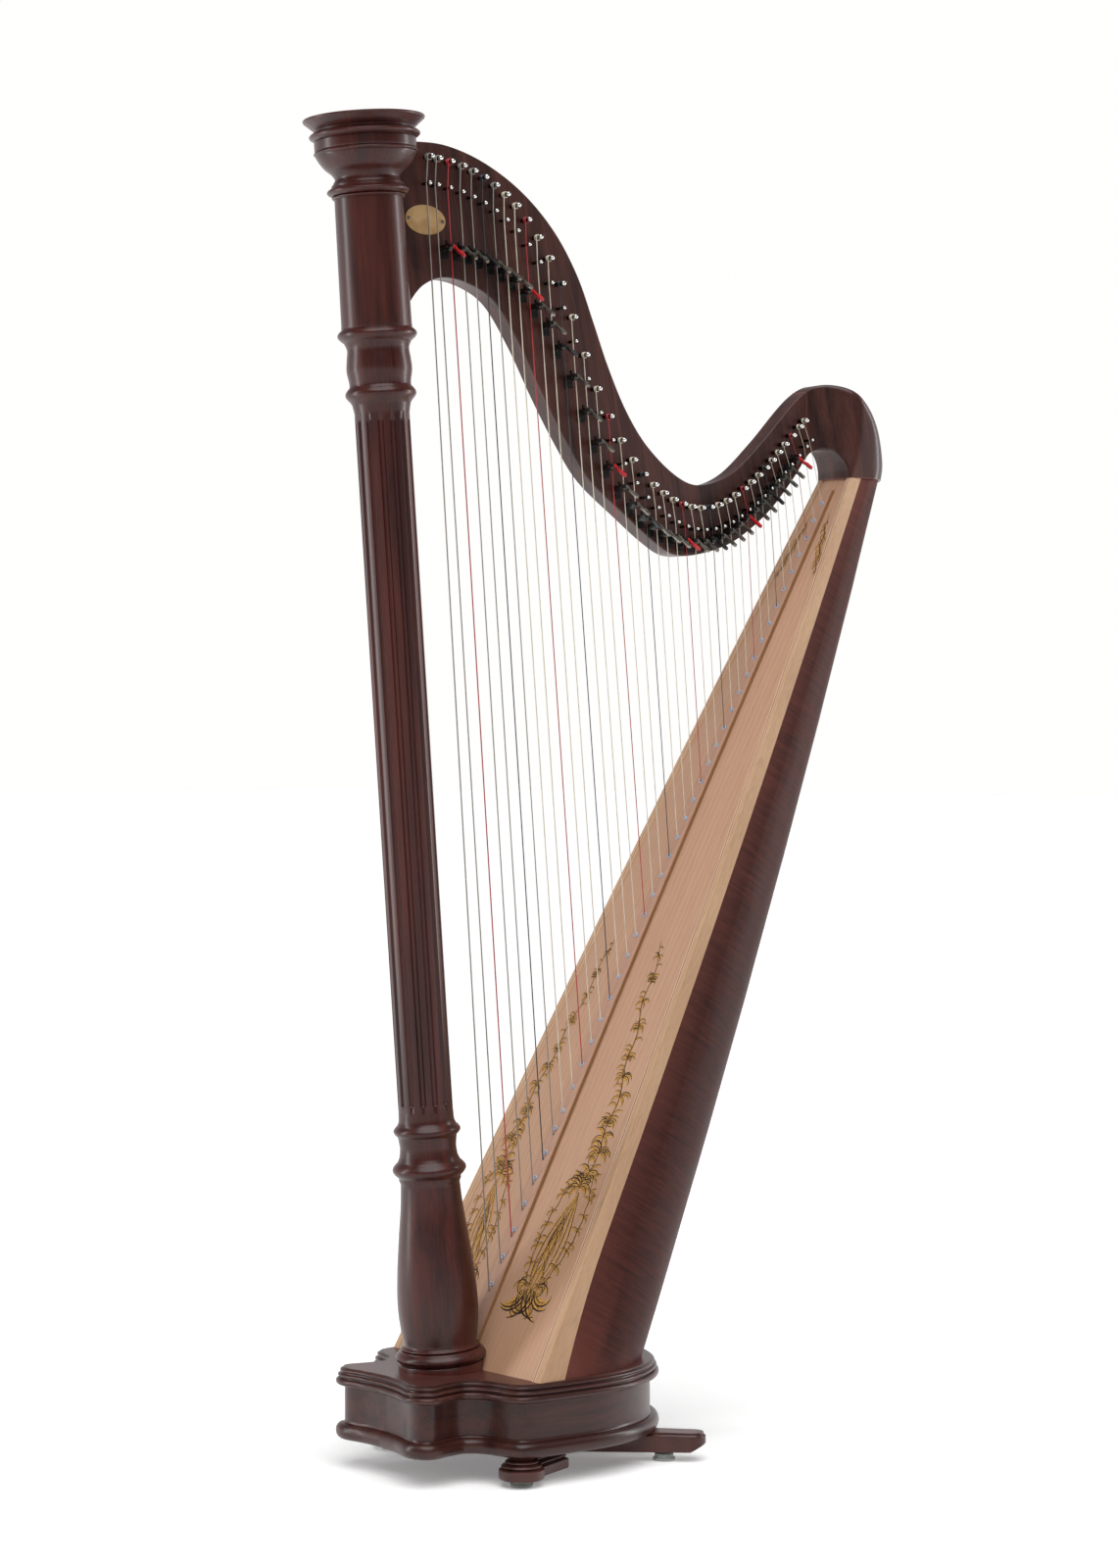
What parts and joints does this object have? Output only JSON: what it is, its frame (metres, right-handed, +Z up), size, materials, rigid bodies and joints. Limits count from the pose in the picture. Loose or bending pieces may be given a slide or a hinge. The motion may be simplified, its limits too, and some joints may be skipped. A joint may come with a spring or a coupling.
{
  "type": "floor-standing lever harp",
  "caption": "Floor-standing wooden harp with a fluted column, curved neck, tapering soundbox, strings and a row of hinged sharpening levers.",
  "frame": {"origin": "centre of the bounding box, on the floor under the foot glides", "axes": "+Z up, +X from the column towards the player's shoulder, +Y to the harp's right side, so the levers face -Y"},
  "size_m": [0.8573, 0.3158, 1.5471],
  "materials": {
    "mahogany": "satin",
    "maple": "satin",
    "spruce": "satin",
    "rib_wood": "satin",
    "inner_wood": "matte",
    "glide": "matte",
    "grommet": "gloss",
    "wire": "satin",
    "plain_string": "satin",
    "red_string": "satin",
    "black_string": "satin",
    "pin_steel": "polished",
    "lever_metal": "satin",
    "lever_red": "satin",
    "lever_black": "satin",
    "plate_brass": "satin"
  },
  "bodies": {
    "frame": {"base_plinth": "mahogany", "base_cap": "mahogany", "base_foot_moulding": "mahogany", "feet": "mahogany", "foot_glides": "glide", "column": "mahogany", "capital": "mahogany", "neck": "mahogany", "shoulder_block": "mahogany", "soundbox_shell": "mahogany", "side_rails": "maple", "soundboard": "spruce", "string_rib": "rib_wood", "inner_bars": "spruce", "shell_braces": "inner_wood", "string_grommets": "grommet", "wire_strings": "wire", "plain_strings": "plain_string", "red_strings": "red_string", "black_strings": "black_string", "tuning_pins": "pin_steel", "bridge_pins": "pin_steel", "lever_brackets": "lever_metal", "nameplate": "plate_brass"},
    "lever_03": {"lever_03_c": "lever_red"},
    "lever_04": {"lever_04_d": "lever_metal"},
    "lever_05": {"lever_05_e": "lever_metal"},
    "lever_06": {"lever_06_f": "lever_black"},
    "lever_07": {"lever_07_g": "lever_metal"},
    "lever_08": {"lever_08_a": "lever_metal"},
    "lever_09": {"lever_09_b": "lever_metal"},
    "lever_10": {"lever_10_c": "lever_red"},
    "lever_11": {"lever_11_d": "lever_metal"},
    "lever_12": {"lever_12_e": "lever_metal"},
    "lever_13": {"lever_13_f": "lever_black"},
    "lever_14": {"lever_14_g": "lever_metal"},
    "lever_15": {"lever_15_a": "lever_metal"},
    "lever_16": {"lever_16_b": "lever_metal"},
    "lever_17": {"lever_17_c": "lever_red"},
    "lever_18": {"lever_18_d": "lever_metal"},
    "lever_19": {"lever_19_e": "lever_metal"},
    "lever_20": {"lever_20_f": "lever_black"},
    "lever_21": {"lever_21_g": "lever_metal"},
    "lever_22": {"lever_22_a": "lever_metal"},
    "lever_23": {"lever_23_b": "lever_metal"},
    "lever_24": {"lever_24_c": "lever_red"},
    "lever_25": {"lever_25_d": "lever_metal"},
    "lever_26": {"lever_26_e": "lever_metal"},
    "lever_27": {"lever_27_f": "lever_black"},
    "lever_28": {"lever_28_g": "lever_metal"},
    "lever_29": {"lever_29_a": "lever_metal"},
    "lever_30": {"lever_30_b": "lever_metal"},
    "lever_31": {"lever_31_c": "lever_red"},
    "lever_32": {"lever_32_d": "lever_metal"},
    "lever_33": {"lever_33_e": "lever_metal"},
    "lever_34": {"lever_34_f": "lever_black"},
    "lever_35": {"lever_35_g": "lever_metal"},
    "lever_36": {"lever_36_a": "lever_metal"},
    "lever_37": {"lever_37_b": "lever_metal"},
    "lever_38": {"lever_38_c": "lever_red"}
  },
  "joints": [
    {"name": "lever_03_flip", "type": "hinge", "parent": "frame", "child": "lever_03", "pos_m": [-0.24154, -0.01, 1.40666], "axis": [-0.9969, 0, -0.0786], "range_deg": [0, 90]},
    {"name": "lever_04_flip", "type": "hinge", "parent": "frame", "child": "lever_04", "pos_m": [-0.2242, -0.01, 1.40559], "axis": [-0.9969, 0, -0.0792], "range_deg": [0, 90]},
    {"name": "lever_05_flip", "type": "hinge", "parent": "frame", "child": "lever_05", "pos_m": [-0.20843, -0.01, 1.40329], "axis": [-0.9967, 0, -0.081], "range_deg": [0, 90]},
    {"name": "lever_06_flip", "type": "hinge", "parent": "frame", "child": "lever_06", "pos_m": [-0.19262, -0.01, 1.39976], "axis": [-0.9966, 0, -0.0828], "range_deg": [0, 90]},
    {"name": "lever_07_flip", "type": "hinge", "parent": "frame", "child": "lever_07", "pos_m": [-0.17682, -0.01, 1.39432], "axis": [-0.9964, 0, -0.0846], "range_deg": [0, 90]},
    {"name": "lever_08_flip", "type": "hinge", "parent": "frame", "child": "lever_08", "pos_m": [-0.16118, -0.01, 1.38733], "axis": [-0.9962, 0, -0.0865], "range_deg": [0, 90]},
    {"name": "lever_09_flip", "type": "hinge", "parent": "frame", "child": "lever_09", "pos_m": [-0.14555, -0.01, 1.37843], "axis": [-0.9961, 0, -0.0885], "range_deg": [0, 90]},
    {"name": "lever_10_flip", "type": "hinge", "parent": "frame", "child": "lever_10", "pos_m": [-0.12956, -0.01, 1.36583], "axis": [-0.9959, 0, -0.0904], "range_deg": [0, 90]},
    {"name": "lever_11_flip", "type": "hinge", "parent": "frame", "child": "lever_11", "pos_m": [-0.11311, -0.01, 1.34946], "axis": [-0.9958, 0, -0.0921], "range_deg": [0, 90]},
    {"name": "lever_12_flip", "type": "hinge", "parent": "frame", "child": "lever_12", "pos_m": [-0.0963, -0.01, 1.3294], "axis": [-0.9956, 0, -0.0936], "range_deg": [0, 90]},
    {"name": "lever_13_flip", "type": "hinge", "parent": "frame", "child": "lever_13", "pos_m": [-0.07909, -0.01, 1.30408], "axis": [-0.9955, 0, -0.0952], "range_deg": [0, 90]},
    {"name": "lever_14_flip", "type": "hinge", "parent": "frame", "child": "lever_14", "pos_m": [-0.0613, -0.01, 1.26985], "axis": [-0.9953, 0, -0.0971], "range_deg": [0, 90]},
    {"name": "lever_15_flip", "type": "hinge", "parent": "frame", "child": "lever_15", "pos_m": [-0.04311, -0.01, 1.23037], "axis": [-0.9951, 0, -0.0992], "range_deg": [0, 90]},
    {"name": "lever_16_flip", "type": "hinge", "parent": "frame", "child": "lever_16", "pos_m": [-0.02492, -0.01, 1.19495], "axis": [-0.9949, 0, -0.1009], "range_deg": [0, 90]},
    {"name": "lever_17_flip", "type": "hinge", "parent": "frame", "child": "lever_17", "pos_m": [-0.00668, -0.01, 1.16655], "axis": [-0.9949, 0, -0.1011], "range_deg": [0, 90]},
    {"name": "lever_18_flip", "type": "hinge", "parent": "frame", "child": "lever_18", "pos_m": [0.01157, -0.01, 1.14222], "axis": [-0.995, 0, -0.1003], "range_deg": [0, 90]},
    {"name": "lever_19_flip", "type": "hinge", "parent": "frame", "child": "lever_19", "pos_m": [0.02917, -0.01, 1.12249], "axis": [-0.9951, 0, -0.0993], "range_deg": [0, 90]},
    {"name": "lever_20_flip", "type": "hinge", "parent": "frame", "child": "lever_20", "pos_m": [0.04586, -0.01, 1.10826], "axis": [-0.9951, 0, -0.0987], "range_deg": [0, 90]},
    {"name": "lever_21_flip", "type": "hinge", "parent": "frame", "child": "lever_21", "pos_m": [0.06191, -0.01, 1.09864], "axis": [-0.9952, 0, -0.0981], "range_deg": [0, 90]},
    {"name": "lever_22_flip", "type": "hinge", "parent": "frame", "child": "lever_22", "pos_m": [0.07754, -0.01, 1.09142], "axis": [-0.9952, 0, -0.0977], "range_deg": [0, 90]},
    {"name": "lever_23_flip", "type": "hinge", "parent": "frame", "child": "lever_23", "pos_m": [0.09275, -0.01, 1.08601], "axis": [-0.9952, 0, -0.0976], "range_deg": [0, 90]},
    {"name": "lever_24_flip", "type": "hinge", "parent": "frame", "child": "lever_24", "pos_m": [0.10753, -0.01, 1.083], "axis": [-0.9952, 0, -0.0979], "range_deg": [0, 90]},
    {"name": "lever_25_flip", "type": "hinge", "parent": "frame", "child": "lever_25", "pos_m": [0.1221, -0.01, 1.08197], "axis": [-0.9952, 0, -0.098], "range_deg": [0, 90]},
    {"name": "lever_26_flip", "type": "hinge", "parent": "frame", "child": "lever_26", "pos_m": [0.13653, -0.01, 1.08284], "axis": [-0.9952, 0, -0.0976], "range_deg": [0, 90]},
    {"name": "lever_27_flip", "type": "hinge", "parent": "frame", "child": "lever_27", "pos_m": [0.15074, -0.01, 1.0857], "axis": [-0.9953, 0, -0.0971], "range_deg": [0, 90]},
    {"name": "lever_28_flip", "type": "hinge", "parent": "frame", "child": "lever_28", "pos_m": [0.16475, -0.01, 1.09038], "axis": [-0.9953, 0, -0.0964], "range_deg": [0, 90]},
    {"name": "lever_29_flip", "type": "hinge", "parent": "frame", "child": "lever_29", "pos_m": [0.17864, -0.01, 1.09727], "axis": [-0.9955, 0, -0.095], "range_deg": [0, 90]},
    {"name": "lever_30_flip", "type": "hinge", "parent": "frame", "child": "lever_30", "pos_m": [0.19233, -0.01, 1.10598], "axis": [-0.9956, 0, -0.0934], "range_deg": [0, 90]},
    {"name": "lever_31_flip", "type": "hinge", "parent": "frame", "child": "lever_31", "pos_m": [0.20549, -0.01, 1.11528], "axis": [-0.9955, 0, -0.0943], "range_deg": [0, 90]},
    {"name": "lever_32_flip", "type": "hinge", "parent": "frame", "child": "lever_32", "pos_m": [0.21797, -0.01, 1.12479], "axis": [-0.995, 0, -0.0995], "range_deg": [0, 90]},
    {"name": "lever_33_flip", "type": "hinge", "parent": "frame", "child": "lever_33", "pos_m": [0.22993, -0.01, 1.13489], "axis": [-0.9941, 0, -0.1086], "range_deg": [0, 90]},
    {"name": "lever_34_flip", "type": "hinge", "parent": "frame", "child": "lever_34", "pos_m": [0.24152, -0.01, 1.14535], "axis": [-0.9925, 0, -0.1219], "range_deg": [0, 90]},
    {"name": "lever_35_flip", "type": "hinge", "parent": "frame", "child": "lever_35", "pos_m": [0.25265, -0.01, 1.15621], "axis": [-0.99, 0, -0.1409], "range_deg": [0, 90]},
    {"name": "lever_36_flip", "type": "hinge", "parent": "frame", "child": "lever_36", "pos_m": [0.26341, -0.01, 1.16745], "axis": [-0.9861, 0, -0.1663], "range_deg": [0, 90]},
    {"name": "lever_37_flip", "type": "hinge", "parent": "frame", "child": "lever_37", "pos_m": [0.27427, -0.01, 1.17874], "axis": [-0.9806, 0, -0.1959], "range_deg": [0, 90]},
    {"name": "lever_38_flip", "type": "hinge", "parent": "frame", "child": "lever_38", "pos_m": [0.28662, -0.01, 1.19112], "axis": [-0.9765, 0, -0.2156], "range_deg": [0, 90]}
  ]
}
